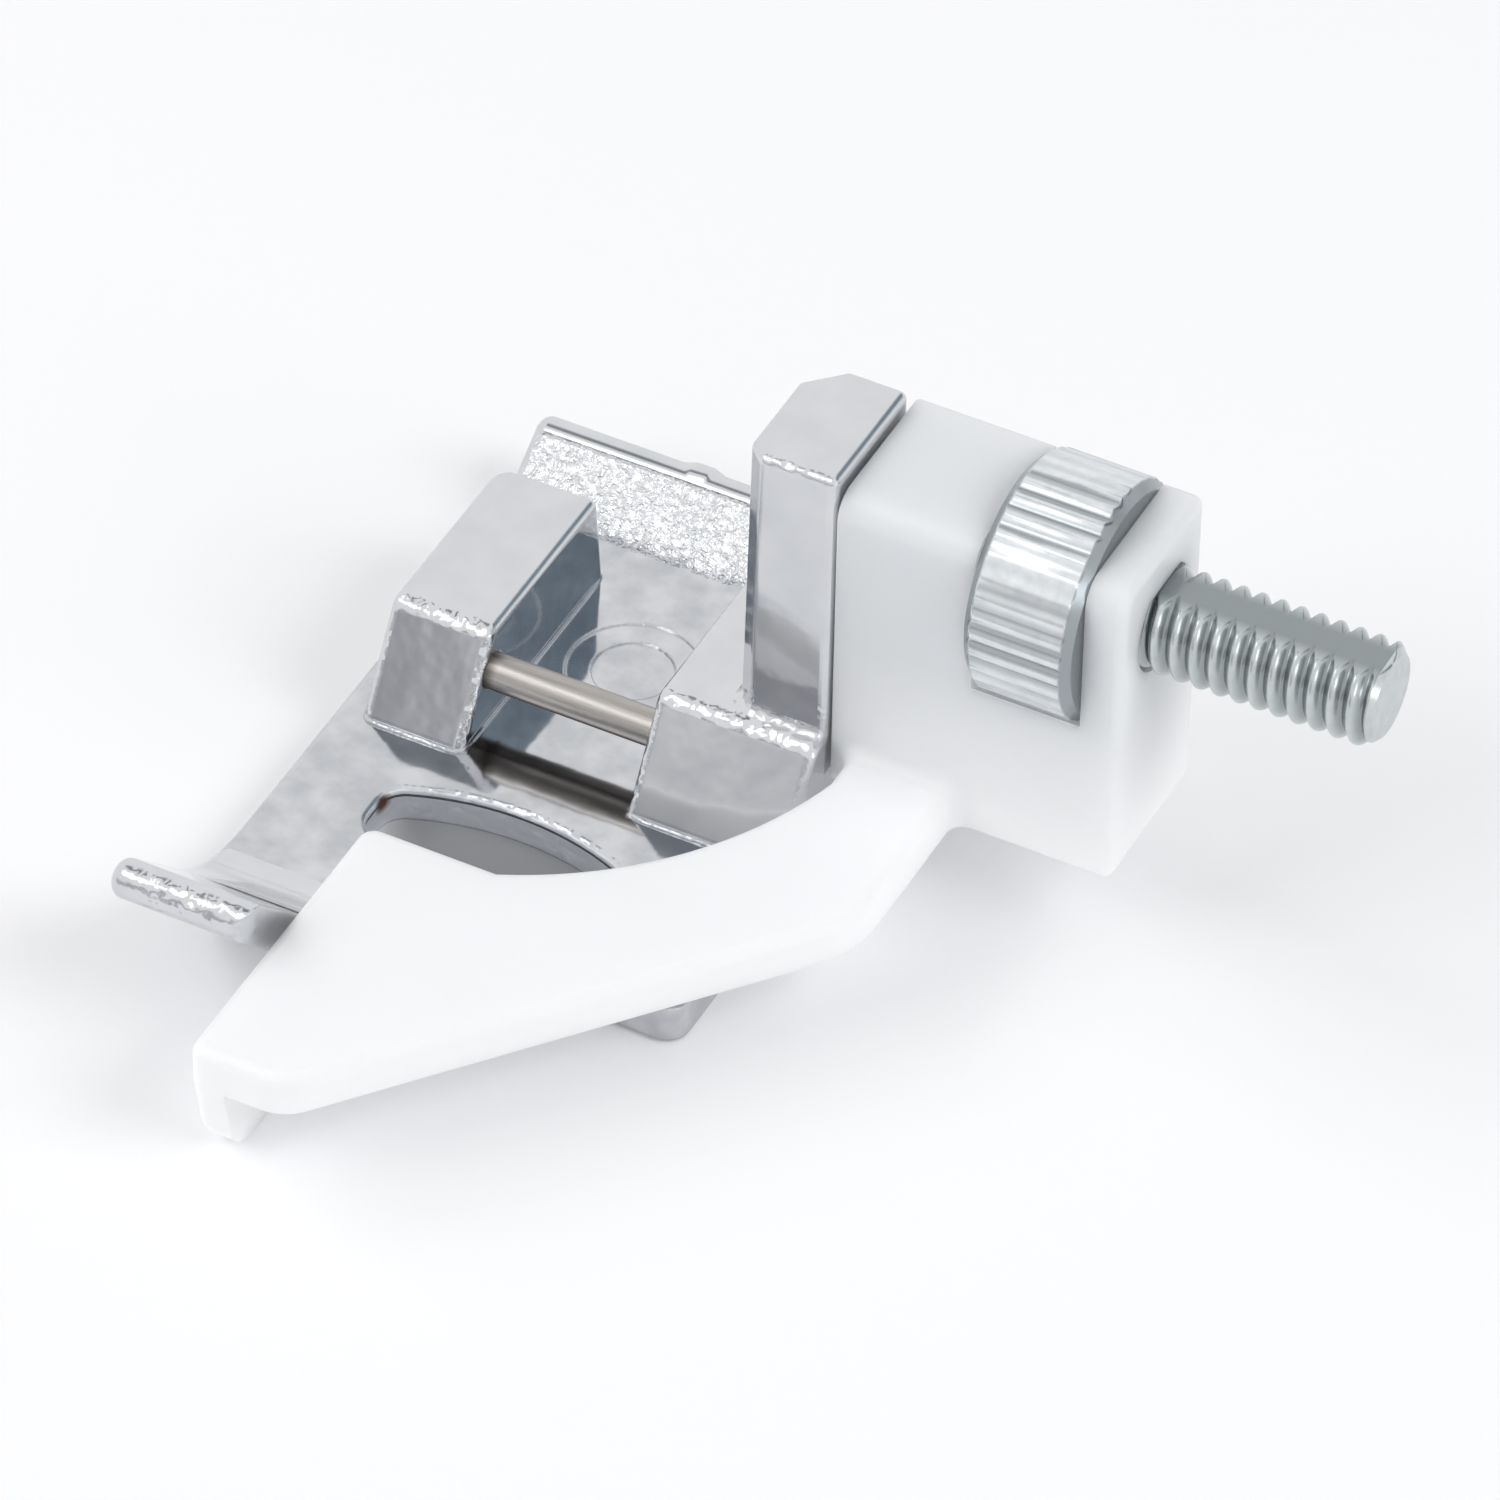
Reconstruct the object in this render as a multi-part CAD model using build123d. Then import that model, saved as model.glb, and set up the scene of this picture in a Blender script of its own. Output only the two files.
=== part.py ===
from build123d import *
import os

# Adjustable blind-hem presser foot that clips on to a sewing machine's ankle.
# Millimetres. The origin is the middle of the ankle pin, +X runs along the pin
# towards the adjusting screw, +Y to the heel and +Z up.

# Edge radius that the whole casting shares
casting_edge_radius = 0.4

# Ankle pin, which the machine's ankle grips, pushed in through the left ear
pin_diameter = 1.7
ankle_gap = 8.0
pin_grip = 3.6
pin_recess = 0.2
pin_end_chamfer = 0.2

# Ears of the casting, whose front faces lean back
left_ear_width = 4.95
right_ear_width = 7.7
ear_height = 2.23
ear_front_foot = 2.9
ear_front_lean = 2.9
ear_back = 9.8
ear_back_slope = 0.6
ear_brow_radius = 0.9
ear_corner_radius = 1.0

# Sole plate, bent up at the toe and at the heel
sole_drop = 2.67
sole_thickness = 1.8
sole_margin_left = 1.4
sole_margin_right = 0.1
sole_front = 13.0
sole_edge_radius = 0.6
sole_corner_radius = 1.0
toe_bend_start = 10.8
toe_bend_radius = 10.2
toe_rise = 45.0
toe_run = 5.1
toe_corner_radius = 1.1
crotch_radius = 1.2
heel_bend_start = 12.55
heel_bend_radius = 1.0
heel_rise = 35.0
heel_run = 3.6

# Stub of the casting gate on the heel's rim
gate_offset = 2.3
gate_width = 2.0
gate_height = 0.2
gate_end_drop = 0.19
gate_end_run = 0.6

# Needle slot with an arched back edge
slot_half_length = 5.8
slot_front = 9.2
slot_back = 4.85
slot_end_depth = 3.0
slot_corner_radius = 1.3
slot_lip_radius = 0.3

# Ejector mark in the floor between the ears, a shallow ring round a deeper disc
mark_distance = 5.5
mark_diameter = 3.7
mark_ring_diameter = 6.0
mark_depth = 0.08

# Post that carries the screw, with its top measured from the screw's axis
post_width = 4.45
post_front = 0.75
post_front_lean = 0.5
post_back = 8.1
post_rise = 4.72
post_front_chamfer = 0.85
post_back_chamfer = 1.6
post_root_radius = 0.5

# Adjusting screw, staked in the post, with a flat along its top
screw_diameter = 4.76
screw_behind_pin = 5.08
screw_above_pin = 11.61
screw_reach = 24.15
screw_flat_depth = 0.45
screw_shank_diameter = 4.0
screw_stake_recess = 0.2
screw_end_chamfer = 0.5

# Thumb nut with a coarse straight knurl
nut_diameter = 10.9
nut_length = 5.0
nut_knurls = 36
nut_groove_depth = 0.3
nut_rim_chamfer = 0.45

# Block of the hem guide, measured from the screw axis and from the nut
block_left_wall = 6.45
block_right_wall = 1.85
block_front = 3.98
block_back = 3.76
block_rise = 4.0
block_depth = 11.88
block_front_radius = 1.2
block_edge_radius = 0.5

# Plate of the hem guide and the fin down its left edge
plate_thickness = 2.0
plate_left_reach = 15.2
plate_right_step = 5.95
plate_front = 28.2
plate_rear = 12.55
plate_rear_run = 6.3
plate_scoop_radius = 18.0
plate_scoop_step = 0.95
plate_scoop_stop = 2.0
plate_flank = 8.1
plate_nose_width = 4.6
plate_shoulder_radius = 5.0
plate_nose_radius = 2.2
plate_corner_radius = 0.8
plate_edge_radius = 0.6
plate_root_radius = 0.8
fin_thickness = 1.8
fin_rake = 0.8
fin_corner_radius = 1.8

# Clearances between the pieces
guide_post_gap = 0.15
thread_clearance = 0.06
hole_clearance = 0.08
nut_side_clearance = 0.08
nut_pocket_clearance = 0.1
fin_toe_gap = 0.35
fin_sole_gap = 0.4
fin_floor_gap = 0.1

# Levels and places that several pieces share
sole_top = -sole_drop
sole_bottom = sole_top - sole_thickness
ear_left_inner = -ankle_gap / 2
ear_right_inner = ankle_gap / 2
ear_left_outer = ear_left_inner - left_ear_width
ear_right_outer = ear_right_inner + right_ear_width
sole_left = ear_left_outer - sole_margin_left
sole_right = ear_right_outer + sole_margin_right
pin_stop = ear_right_inner + pin_grip
post_right = ear_right_outer
post_left = post_right - post_width
post_height = screw_above_pin + post_rise
screw_end = post_right + screw_reach
guide_left = post_right + guide_post_gap
pocket_left = guide_left + block_left_wall
nut_left = pocket_left + nut_side_clearance
nut_right = nut_left + nut_length
pocket_right = nut_right + nut_side_clearance
guide_right = pocket_right + block_right_wall
fin_left = guide_left - plate_left_reach

# Round sections, each drawn on its own axis in a side view
pin_section = Circle(pin_diameter / 2)
screw_radius = screw_diameter / 2
screw_centre = Pos(screw_behind_pin, screw_above_pin)
shank_section = screw_centre * Circle(screw_shank_diameter / 2)
nut_radius = nut_diameter / 2

# How far an edge may lie from a face and still be taken as one of its edges
touch = 0.05


def across(profile, x_start, x_end):
    """Carries a side profile, drawn with back as right and up as up, from x_start to x_end."""
    side = Plane(origin=(x_start, 0, 0), x_dir=(0, 1, 0), z_dir=(1, 0, 0))
    return extrude(side * profile, amount=x_end - x_start)


def round_corner(outline, x, y, radius):
    """Rounds the corner of a flat outline that lies at x, y."""
    return fillet(outline.vertices().sort_by_distance((x, y))[0], radius)


def flatted_section(radius):
    """Round section on the screw axis with the screw's flat along its top."""
    below_flat = Pos(0, -screw_flat_depth) * Rectangle(2 * radius, 2 * radius)
    return screw_centre * (Circle(radius) & below_flat)


# Sole: a band of even thickness with round ends, laid along a bent spine and rounded down its left side
mid_level = sole_top - sole_thickness / 2
flat_run = Line((heel_bend_start, mid_level), (-toe_bend_start, mid_level))
toe_bend = JernArc(flat_run @ 1, (-1, 0), toe_bend_radius, -toe_rise)
toe_ramp = Line(toe_bend @ 1, toe_bend @ 1 + (toe_bend % 1) * toe_run)
heel_bend = JernArc(flat_run @ 0, (1, 0), heel_bend_radius, heel_rise)
heel_ramp = Line(heel_bend @ 1, heel_bend @ 1 + (heel_bend % 1) * heel_run)
spine = Wire([run.edge() for run in (heel_ramp, heel_bend, flat_run, toe_bend, toe_ramp)])
band = make_face(offset(spine, sole_thickness / 2, side=Side.BOTH))
sole = across(band, sole_left, sole_right)
sole = fillet(sole.edges().group_by(Axis.X)[0], sole_edge_radius)

# The band is cut to its outline: a long toe on the left and a short front on the right
stock = sole.bounding_box()
toe_right = fin_left - fin_toe_gap
outline = make_face(
    Polyline(
        (sole_left, stock.max.Y),
        (sole_left, stock.min.Y),
        (toe_right, stock.min.Y),
        (toe_right, -sole_front),
        (sole_right, -sole_front),
        (sole_right, stock.max.Y),
        close=True,
    )
)
outline = round_corner(outline, toe_right, stock.min.Y, toe_corner_radius)
outline = round_corner(outline, toe_right, -sole_front, crotch_radius)
outline = round_corner(outline, sole_right, -sole_front, sole_corner_radius)
sole &= extrude(Pos(0, 0, stock.min.Z) * outline, amount=stock.size.Z)

# Gate stub: a short roll that stands out of the middle of the heel's round rim
gate_centre = heel_ramp @ 1 + (heel_ramp % 1) * gate_height
gate_roll = Pos(gate_centre.X, gate_centre.Y) * Circle(sole_thickness / 2)
gate = across(gate_roll, -gate_offset - gate_width / 2, -gate_offset + gate_width / 2)
for gate_end in gate.edges().filter_by(GeomType.CIRCLE):
    gate = chamfer(gate.edges().sort_by_distance(gate_end.center())[0], gate_end_run, gate_end_drop)
sole += gate

# Needle slot, right through the sole, with a rounded upper lip
slot_end = slot_end_depth - slot_front
slot_arch = ThreePointArc((-slot_half_length, slot_end), (0, -slot_back), (slot_half_length, slot_end))
slot_front_corners = ((slot_half_length, -slot_front), (-slot_half_length, -slot_front))
slot_outline = make_face([slot_arch, Polyline(slot_arch @ 1, *slot_front_corners, slot_arch @ 0)])
slot_outline = fillet(slot_outline.vertices(), slot_corner_radius)
slot = extrude(Pos(0, 0, sole_bottom) * slot_outline, amount=2 * sole_thickness)
slotted_sole = sole - slot
slot_rim = new_edges(sole, slot, combined=slotted_sole).group_by(Axis.Z)[-1]
slotted_sole = fillet(slot_rim, slot_lip_radius)


def ear(x_inner, x_outer):
    """One ear: a side profile with a leaning front, sunk into the sole, with its edges rounded."""
    rise = ear_height - sole_top
    sink = sole_thickness / 2
    foot_level = sole_top - sink
    front_top = ear_front_lean - ear_front_foot
    front_foot = -ear_front_foot - ear_front_lean * sink / rise
    back_foot = ear_back + ear_back_slope * (rise + sink) / rise
    profile = make_face(
        Polyline(
            (front_foot, foot_level),
            (front_top, ear_height),
            (ear_back, ear_height),
            (back_foot, foot_level),
            close=True,
        )
    )
    profile = round_corner(profile, front_top, ear_height, ear_brow_radius)
    solid = across(profile, min(x_inner, x_outer), max(x_inner, x_outer))
    rear_corner = solid.edges().sort_by_distance((x_outer, ear_back, 0))[0]
    solid = fillet(rear_corner, ear_corner_radius)
    level_edges = solid.edges().filter_by(Axis.X)
    foot_edges = solid.edges().group_by(Axis.Z)[0]
    return fillet(solid.edges() - level_edges - foot_edges, casting_edge_radius)


# Post: its front slants back and runs on down into the right ear
post_sink = (ear_height - sole_top) / 4
post_slant = post_front_lean / (post_height - ear_height)
post_profile = make_face(
    Polyline(
        (post_front - post_slant * post_sink, ear_height - post_sink),
        (post_front + post_front_lean, post_height),
        (post_back, post_height),
        (post_back, ear_height - post_sink),
        close=True,
    )
)
post = across(post_profile, post_left, post_right)
front_edge = post.edges().sort_by_distance((post_left, post_front, post_height / 2))[0]
post = chamfer(front_edge, post_front_chamfer)
back_edge = post.edges().sort_by_distance((post_left, post_back, post_height / 2))[0]
post = chamfer(back_edge, post_back_chamfer)
post = fillet(post.edges().filter_by(lambda e: e.center().Z > ear_height), casting_edge_radius)

# Foot casting: sole, ears and post in one, blended where the post leaves the ear's top
left_ear = ear(ear_left_inner, ear_left_outer)
right_ear = ear(ear_right_inner, ear_right_outer)
casting = slotted_sole + left_ear + right_ear + post
on_ear_top = casting.edges().filter_by_position(Axis.Z, ear_height - touch, ear_height + touch)
ear_top_right = ear_right_outer - casting_edge_radius
beside_post = on_ear_top.filter_by_position(Axis.X, post_left - touch, ear_top_right - touch)
post_root = beside_post.filter_by_position(Axis.Y, post_front - touch, post_back + touch)
casting = fillet(post_root, post_root_radius)

# Ejector mark and the holes for the pin and the screw's shank
for size, depth in ((mark_ring_diameter, mark_depth), (mark_diameter, 2 * mark_depth)):
    casting -= Pos(0, mark_distance, sole_top) * Cylinder(size / 2, 2 * depth)
casting -= across(pin_section, ear_left_outer, pin_stop)
casting -= across(shank_section, post_left, post_right)

# Ankle pin, bottomed in the right ear's blind hole
pin = across(pin_section, ear_left_outer + pin_recess, pin_stop)
pin = chamfer(pin.edges().group_by(Axis.X)[0], pin_end_chamfer)

# Adjusting screw: threaded rod with a flat, and a plain shank staked in the post
rod = across(screw_centre * Circle(screw_radius), post_right, screw_end)
rod = chamfer(rod.edges().group_by(Axis.X)[-1], screw_end_chamfer)
rod &= across(flatted_section(screw_radius), post_right, screw_end)
screw = rod + across(shank_section, post_left + screw_stake_recess, post_right)

# Thumb nut: a turned blank with chamfered rims, knurled round and bored for the screw
grooves = PolarLocations(nut_radius, nut_knurls) * RegularPolygon(nut_groove_depth, 4)
knurled = Circle(nut_radius) - grooves - Circle(screw_radius + thread_clearance)
blank = across(screw_centre * Circle(nut_radius), nut_left, nut_right)
blank = chamfer(blank.edges().filter_by(GeomType.CIRCLE), nut_rim_chamfer)
nut = blank & across(screw_centre * knurled, nut_left, nut_right)

# Hem guide's block, rounded along its front brow, its right end and its back
block_front_face = screw_behind_pin - block_front
block_back_face = screw_behind_pin + block_back
block_bottom = screw_above_pin - block_depth
block_top = screw_above_pin + block_rise
block = Pos(guide_left, block_front_face, block_bottom) * Box(
    guide_right - guide_left, block_front + block_back, block_rise + block_depth, align=Align.MIN
)
brow = block.edges().filter_by(Axis.X).sort_by_distance((guide_left, block_front_face, block_top))[0]
block = fillet(brow, block_front_radius)
right_edges = block.edges().group_by(Axis.X)[-1]
back_edges = block.edges().group_by(Axis.Y)[-1]
block = fillet(right_edges + (back_edges - right_edges), block_edge_radius)

# Its plate reaches forward to a nose, with a scooped rear edge on the way to the block
plate_top = block_bottom + plate_thickness
plate_right = guide_left + plate_right_step
plate_root = block_front_face + block_front / 2
nose_right = fin_left + plate_nose_width
scoop_x = guide_left + plate_scoop_step
scoop_start = (fin_left + plate_rear_run, -plate_rear)
scoop_stop = (scoop_x, block_front_face - plate_scoop_stop)
straight_edges = Polyline(
    scoop_stop,
    (scoop_x, plate_root),
    (plate_right, plate_root),
    (plate_right, -plate_flank),
    (nose_right, -plate_front),
    (fin_left, -plate_front),
    (fin_left, -plate_rear),
    scoop_start,
)
plate_outline = make_face([RadiusArc(scoop_start, scoop_stop, -plate_scoop_radius), straight_edges])
plate_outline = round_corner(plate_outline, plate_right, -plate_flank, plate_shoulder_radius)
plate_outline = round_corner(plate_outline, nose_right, -plate_front, plate_nose_radius)
plate = extrude(Pos(0, 0, block_bottom) * plate_outline, amount=plate_thickness)

# The fin hangs from the plate's left edge beside the toe, just clear of the cloth side of the sole
fin_bottom = sole_bottom + fin_floor_gap
fin_rear = -sole_front - fin_sole_gap
fin_profile = make_face(
    Polyline(
        (-plate_front, plate_top),
        (-plate_front, block_bottom),
        (fin_rake - plate_front, fin_bottom),
        (fin_rear, fin_bottom),
        (fin_rear, plate_top),
        close=True,
    )
)
fin_profile = round_corner(fin_profile, fin_rake - plate_front, fin_bottom, fin_corner_radius)
blade = plate + across(fin_profile, fin_left, fin_left + fin_thickness)
left_corners = blade.edges().group_by(Axis.X)[0].filter_by(lambda e: abs((e % 0.5).Z) > abs((e % 0.5).Y))
blade = fillet(left_corners, plate_corner_radius)
rim = blade.edges().group_by(Axis.Z)[-1].filter_by(lambda e: e.center().Y < plate_root - touch)
blade = fillet(rim, plate_edge_radius)

# Hem guide: block and blade in one, blended at the root, then pocketed for the nut and bored
guide = block + blade
on_front_face = guide.edges().filter_by_position(Axis.Y, block_front_face - touch, block_front_face + touch)
above_bottom = on_front_face.filter_by_position(Axis.Z, block_bottom + touch, plate_top + touch)
blade_root = above_bottom.filter_by_position(Axis.X, scoop_x - touch, plate_right + touch)
guide = fillet(blade_root, plate_root_radius)
pocket_radius = nut_radius + nut_pocket_clearance
pocket_top = Pos(0, block_rise / 2) * Rectangle(2 * pocket_radius, block_rise)
guide -= across(screw_centre * (Circle(pocket_radius) + pocket_top), pocket_left, pocket_right)
guide -= across(flatted_section(screw_radius + hole_clearance), guide_left, guide_right)

os.makedirs("parts", exist_ok=True)
export_step(casting, "parts/foot_casting.step")
export_step(pin, "parts/ankle_pin.step")
export_step(screw, "parts/adjusting_screw.step")
export_step(nut, "parts/thumb_nut.step")
export_step(guide, "parts/hem_guide.step")
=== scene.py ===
from math import pi, radians, tan

import bmesh
import bpy
import numpy as np
from mathutils import Matrix, Vector


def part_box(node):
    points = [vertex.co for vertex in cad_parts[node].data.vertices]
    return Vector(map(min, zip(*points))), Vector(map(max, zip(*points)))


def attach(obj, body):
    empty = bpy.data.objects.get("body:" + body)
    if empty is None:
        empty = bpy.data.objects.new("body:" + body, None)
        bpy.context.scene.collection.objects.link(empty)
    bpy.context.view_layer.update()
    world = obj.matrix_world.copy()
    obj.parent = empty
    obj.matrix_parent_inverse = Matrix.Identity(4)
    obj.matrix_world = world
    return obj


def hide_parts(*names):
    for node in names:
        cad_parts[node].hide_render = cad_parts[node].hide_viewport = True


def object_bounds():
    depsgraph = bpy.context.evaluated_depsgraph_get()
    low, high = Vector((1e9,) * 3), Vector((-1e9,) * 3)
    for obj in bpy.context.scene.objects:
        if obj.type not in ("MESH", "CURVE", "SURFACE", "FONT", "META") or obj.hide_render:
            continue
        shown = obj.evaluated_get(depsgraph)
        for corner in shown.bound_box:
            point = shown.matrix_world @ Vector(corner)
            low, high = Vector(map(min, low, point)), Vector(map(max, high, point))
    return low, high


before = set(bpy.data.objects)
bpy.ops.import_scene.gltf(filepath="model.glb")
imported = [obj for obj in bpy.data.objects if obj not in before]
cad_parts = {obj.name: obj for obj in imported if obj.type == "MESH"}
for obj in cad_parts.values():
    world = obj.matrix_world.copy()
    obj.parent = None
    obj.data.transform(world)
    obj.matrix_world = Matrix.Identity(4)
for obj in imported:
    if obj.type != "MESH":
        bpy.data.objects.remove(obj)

cad_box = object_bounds()


# Foot casting: sole, toe, heel, ears and screw post in one zinc die casting.
# It is tumbled, then plated bright, so every face mirrors the room with a slight wave,
# and the ramp of the heel keeps the rough skin of the mould under its plating.
MM = 0.001
weld_distance = 0.0005 * MM
sharp_edge = radians(35)
narrow_facet = 2.5 * MM**2
least_area = 1e-20


def linear(hex_colour):
    """Linear RGBA of an sRGB hex colour: the usual curve, straight below 0.04045 and a power above it."""
    srgb = np.array([int(hex_colour[at:at + 2], 16) for at in (1, 3, 5)]) / 255
    rgb = np.where(srgb <= 0.04045, srgb / 12.92, ((srgb + 0.055) / 1.055) ** 2.4)
    return (*rgb, 1.0)


def add_node(tree, kind, inputs=None, **settings):
    """Adds one node, gives it its settings, and fills the inputs named: a node is linked by its first
    output, a socket is linked as it is, and anything else is the input's own value."""
    made = tree.nodes.new(kind)
    for name, value in settings.items():
        setattr(made, name, value)
    for name, value in (inputs or {}).items():
        if isinstance(value, bpy.types.Node):
            value = value.outputs[0]
        if isinstance(value, bpy.types.NodeSocket):
            tree.links.new(value, made.inputs[name])
        else:
            made.inputs[name].default_value = value
    return made


def new_material(name):
    """An empty node material, given back with its tree and the place on the piece, in metres, that its
    patterns are laid out on."""
    material = bpy.data.materials.new(name)
    material.use_nodes = True
    tree = material.node_tree
    tree.nodes.clear()
    return material, tree, add_node(tree, "ShaderNodeTexCoord").outputs["Object"]


def flat_areas(normals, centres, areas):
    """For each triangle, the area of the whole flat it lies on: triangles with one normal and one distance
    from the origin along it are taken as one flat."""
    distances = (normals * centres).sum(1) / MM
    planes = np.c_[normals, distances].round(3)
    flats = np.unique(planes, axis=0, return_inverse=True)[1].ravel()
    return np.bincount(flats, areas)[flats]


def eased_normals(corners, normals, weights):
    """Shading normal of each triangle corner: the mean of the normals of the triangles round its point that
    lean from its own by less than a sharp edge, each weighted by the square of its flat's area, so that
    flats stay flat."""
    points = corners.ravel()
    owners = np.repeat(np.arange(len(corners)), 3)
    order = np.argsort(points, kind="stable")
    counts = np.bincount(points)
    starts = np.cumsum(counts) - counts
    partners = counts[points]
    mine = np.repeat(np.arange(len(points)), partners)
    step = np.arange(len(mine)) - np.repeat(np.cumsum(partners) - partners, partners)
    theirs = owners[order[np.repeat(starts[points], partners) + step]]
    lean = (normals[owners[mine]] * normals[theirs]).sum(1)
    pull = np.where(lean > np.cos(sharp_edge), weights[theirs] ** 2, 0)
    eased = np.stack([np.bincount(mine, pull * normals[theirs, axis]) for axis in range(3)], axis=1)
    return eased / np.linalg.norm(eased, axis=1, keepdims=True)


def merged_copy(node, name):
    """Copy of a CAD node's mesh with its loose triangles joined and shaded smooth but for its sharp edges.
    Its attribute edge is 1 on the narrow facets of rounded edges and 0 on flats and wide curves."""
    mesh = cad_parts[node].data.copy()
    joined = bmesh.new()
    joined.from_mesh(mesh)
    bmesh.ops.remove_doubles(joined, verts=joined.verts, dist=weld_distance)
    bmesh.ops.triangulate(joined, faces=joined.faces)
    joined.to_mesh(mesh)
    joined.free()
    points = np.zeros(len(mesh.vertices) * 3)
    mesh.vertices.foreach_get("co", points)
    corners = np.zeros(len(mesh.loops), int)
    mesh.loops.foreach_get("vertex_index", corners)
    corners = corners.reshape(-1, 3)
    first, second, third = points.reshape(-1, 3)[corners].transpose(1, 0, 2)
    normals = np.cross(second - first, third - first)
    areas = np.linalg.norm(normals, axis=1, keepdims=True)
    normals /= np.maximum(areas, least_area)
    flats = flat_areas(normals, (first + second + third) / 3, areas[:, 0] / 2)
    mesh.shade_smooth()
    mesh.normals_split_custom_set(eased_normals(corners, normals, flats / MM**2))
    edge = mesh.attributes.new("edge", "FLOAT", "FACE")
    edge.data.foreach_set("value", (flats < narrow_facet).astype(np.float32))
    piece = bpy.data.objects.new(name, mesh)
    bpy.context.scene.collection.objects.link(piece)
    return piece


def finish_piece(piece, material, body, node):
    """Gives a piece its material, the body it rides on and the CAD node it stands for."""
    piece.data.materials.clear()
    piece.data.materials.append(material)
    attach(piece, body)
    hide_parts(node)


casting = merged_copy("foot_casting", "plated_foot_casting")

# Bright chrome is near white and very smooth, so it mirrors the room. A broad ripple bends what its flats
# mirror, and the shading takes the sharpness off its edges, as tumbling does.
plate_roughness = 0.08
edge_radius = 0.2 * MM
ripple_size, ripple_height = 2.0 * MM, 0.012 * MM
plating, tree, place = new_material("bright_chrome_plate_on_zinc")
spot = add_node(tree, "ShaderNodeSeparateXYZ", {"Vector": place}).outputs
straight = add_node(tree, "ShaderNodeNewGeometry").outputs["Normal"]
rounded = add_node(tree, "ShaderNodeBevel", {"Radius": edge_radius}, samples=6)
ripple = add_node(tree, "ShaderNodeTexNoise", {"Vector": place, "Scale": 1 / ripple_size, "Detail": 2.0})
waves = add_node(tree, "ShaderNodeMath", {0: ripple, 1: ripple_height}, operation="MULTIPLY")
plate = add_node(
    tree,
    "ShaderNodeMixRGB",
    {"Fac": ripple, "Color1": linear("#CACCD0"), "Color2": linear("#DCDDDF")},
)

# The mould's rough skin shows as flakes on the heel's ramp. It starts at a ragged line above the ramp's
# foot and stops just short of the rim.
flake_size, flake_height = 0.34 * MM, 0.15 * MM
ramp_foot, ramp_rise, ramp_length = (0, 12.61 * MM, -2.65 * MM), radians(35), 3.6 * MM
ragged_reach, skin_start, skin_full = 1.2 * MM, 0.3 * MM, 0.7 * MM
rim_fade = 0.25 * MM
skin_depth = 0.15 * MM
flakes = add_node(
    tree,
    "ShaderNodeTexNoise",
    {"Vector": place, "Scale": 1 / flake_size, "Detail": 3.0, "Distortion": 0.6},
)
from_ramp = add_node(
    tree,
    "ShaderNodeMapping",
    {"Vector": place, "Location": ramp_foot, "Rotation": (ramp_rise, 0, 0)},
    vector_type="TEXTURE",
)
on_ramp = add_node(tree, "ShaderNodeSeparateXYZ", {"Vector": from_ramp}).outputs
ragged = add_node(
    tree,
    "ShaderNodeMath",
    {0: flakes, 1: ragged_reach, 2: on_ramp["Y"]},
    operation="MULTIPLY_ADD",
)
past_ragged_line = add_node(
    tree,
    "ShaderNodeMapRange",
    {"Value": ragged, "From Min": skin_start, "From Max": skin_full},
    interpolation_type="SMOOTHSTEP",
)
below_rim = add_node(
    tree,
    "ShaderNodeMapRange",
    {"Value": on_ramp["Y"], "From Min": ramp_length, "From Max": ramp_length - rim_fade},
    interpolation_type="SMOOTHSTEP",
)
off_ramp = add_node(tree, "ShaderNodeMath", {0: on_ramp["Z"]}, operation="ABSOLUTE")
on_top = add_node(tree, "ShaderNodeMath", {0: off_ramp, 1: skin_depth}, operation="LESS_THAN")
up_ramp = add_node(tree, "ShaderNodeMath", {0: past_ragged_line, 1: below_rim}, operation="MULTIPLY")
rough_skin = add_node(tree, "ShaderNodeMath", {0: up_ramp, 1: on_top}, operation="MULTIPLY")
skin = add_node(tree, "ShaderNodeMath", {0: flakes, 1: rough_skin}, operation="MULTIPLY")
height = add_node(tree, "ShaderNodeMath", {0: skin, 1: flake_height, 2: waves}, operation="MULTIPLY_ADD")
smooth = add_node(tree, "ShaderNodeBump", {"Height": height, "Distance": 1.0, "Normal": rounded})

# The post's front mirrors the guide as if it leaned back a few degrees, as a casting's drafted face does.
post_foot, post_lean = 2.5 * MM, radians(7)
facing_front = -0.98
draft = add_node(tree, "ShaderNodeMath", {0: spot["Z"], 1: -tan(post_lean)}, operation="MULTIPLY")
drafted = add_node(tree, "ShaderNodeBump", {"Height": draft, "Distance": 1.0, "Normal": smooth})
facing = add_node(tree, "ShaderNodeSeparateXYZ", {"Vector": straight}).outputs["Y"]
in_front = add_node(tree, "ShaderNodeMath", {0: facing, 1: facing_front}, operation="LESS_THAN")
above_foot = add_node(tree, "ShaderNodeMath", {0: spot["Z"], 1: post_foot}, operation="GREATER_THAN")
on_post = add_node(tree, "ShaderNodeMath", {0: above_foot, 1: in_front}, operation="MULTIPLY")
even = add_node(tree, "ShaderNodeMixRGB", {"Fac": on_post, "Color1": smooth, "Color2": drafted})

# Plating throws up nodules along the edges that face the anode, here the front ones, and these sparkle in
# patches. The heel has none, nor have the upright edges of the post above the ears. An edge is found by how
# far a normal that is rounded over the nodules' reach leans from the face's own.
nodule_size, nodule_height, nodule_reach = 0.55 * MM, 0.2 * MM, 0.45 * MM
lean_start, lean_full = 0.999, 0.88
front_lean, upright_lean = -0.1, 0.1
patch_low, patch_high, patch_least = 0.4, 0.6, 0.3
ear_top = 4.0 * MM
nodules = add_node(tree, "ShaderNodeTexNoise", {"Vector": place, "Scale": 1 / nodule_size, "Detail": 0.7})
bumpy = add_node(tree, "ShaderNodeBump", {"Height": nodules, "Distance": nodule_height, "Normal": even})
around_edge = add_node(tree, "ShaderNodeBevel", {"Radius": nodule_reach}, samples=6)
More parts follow.
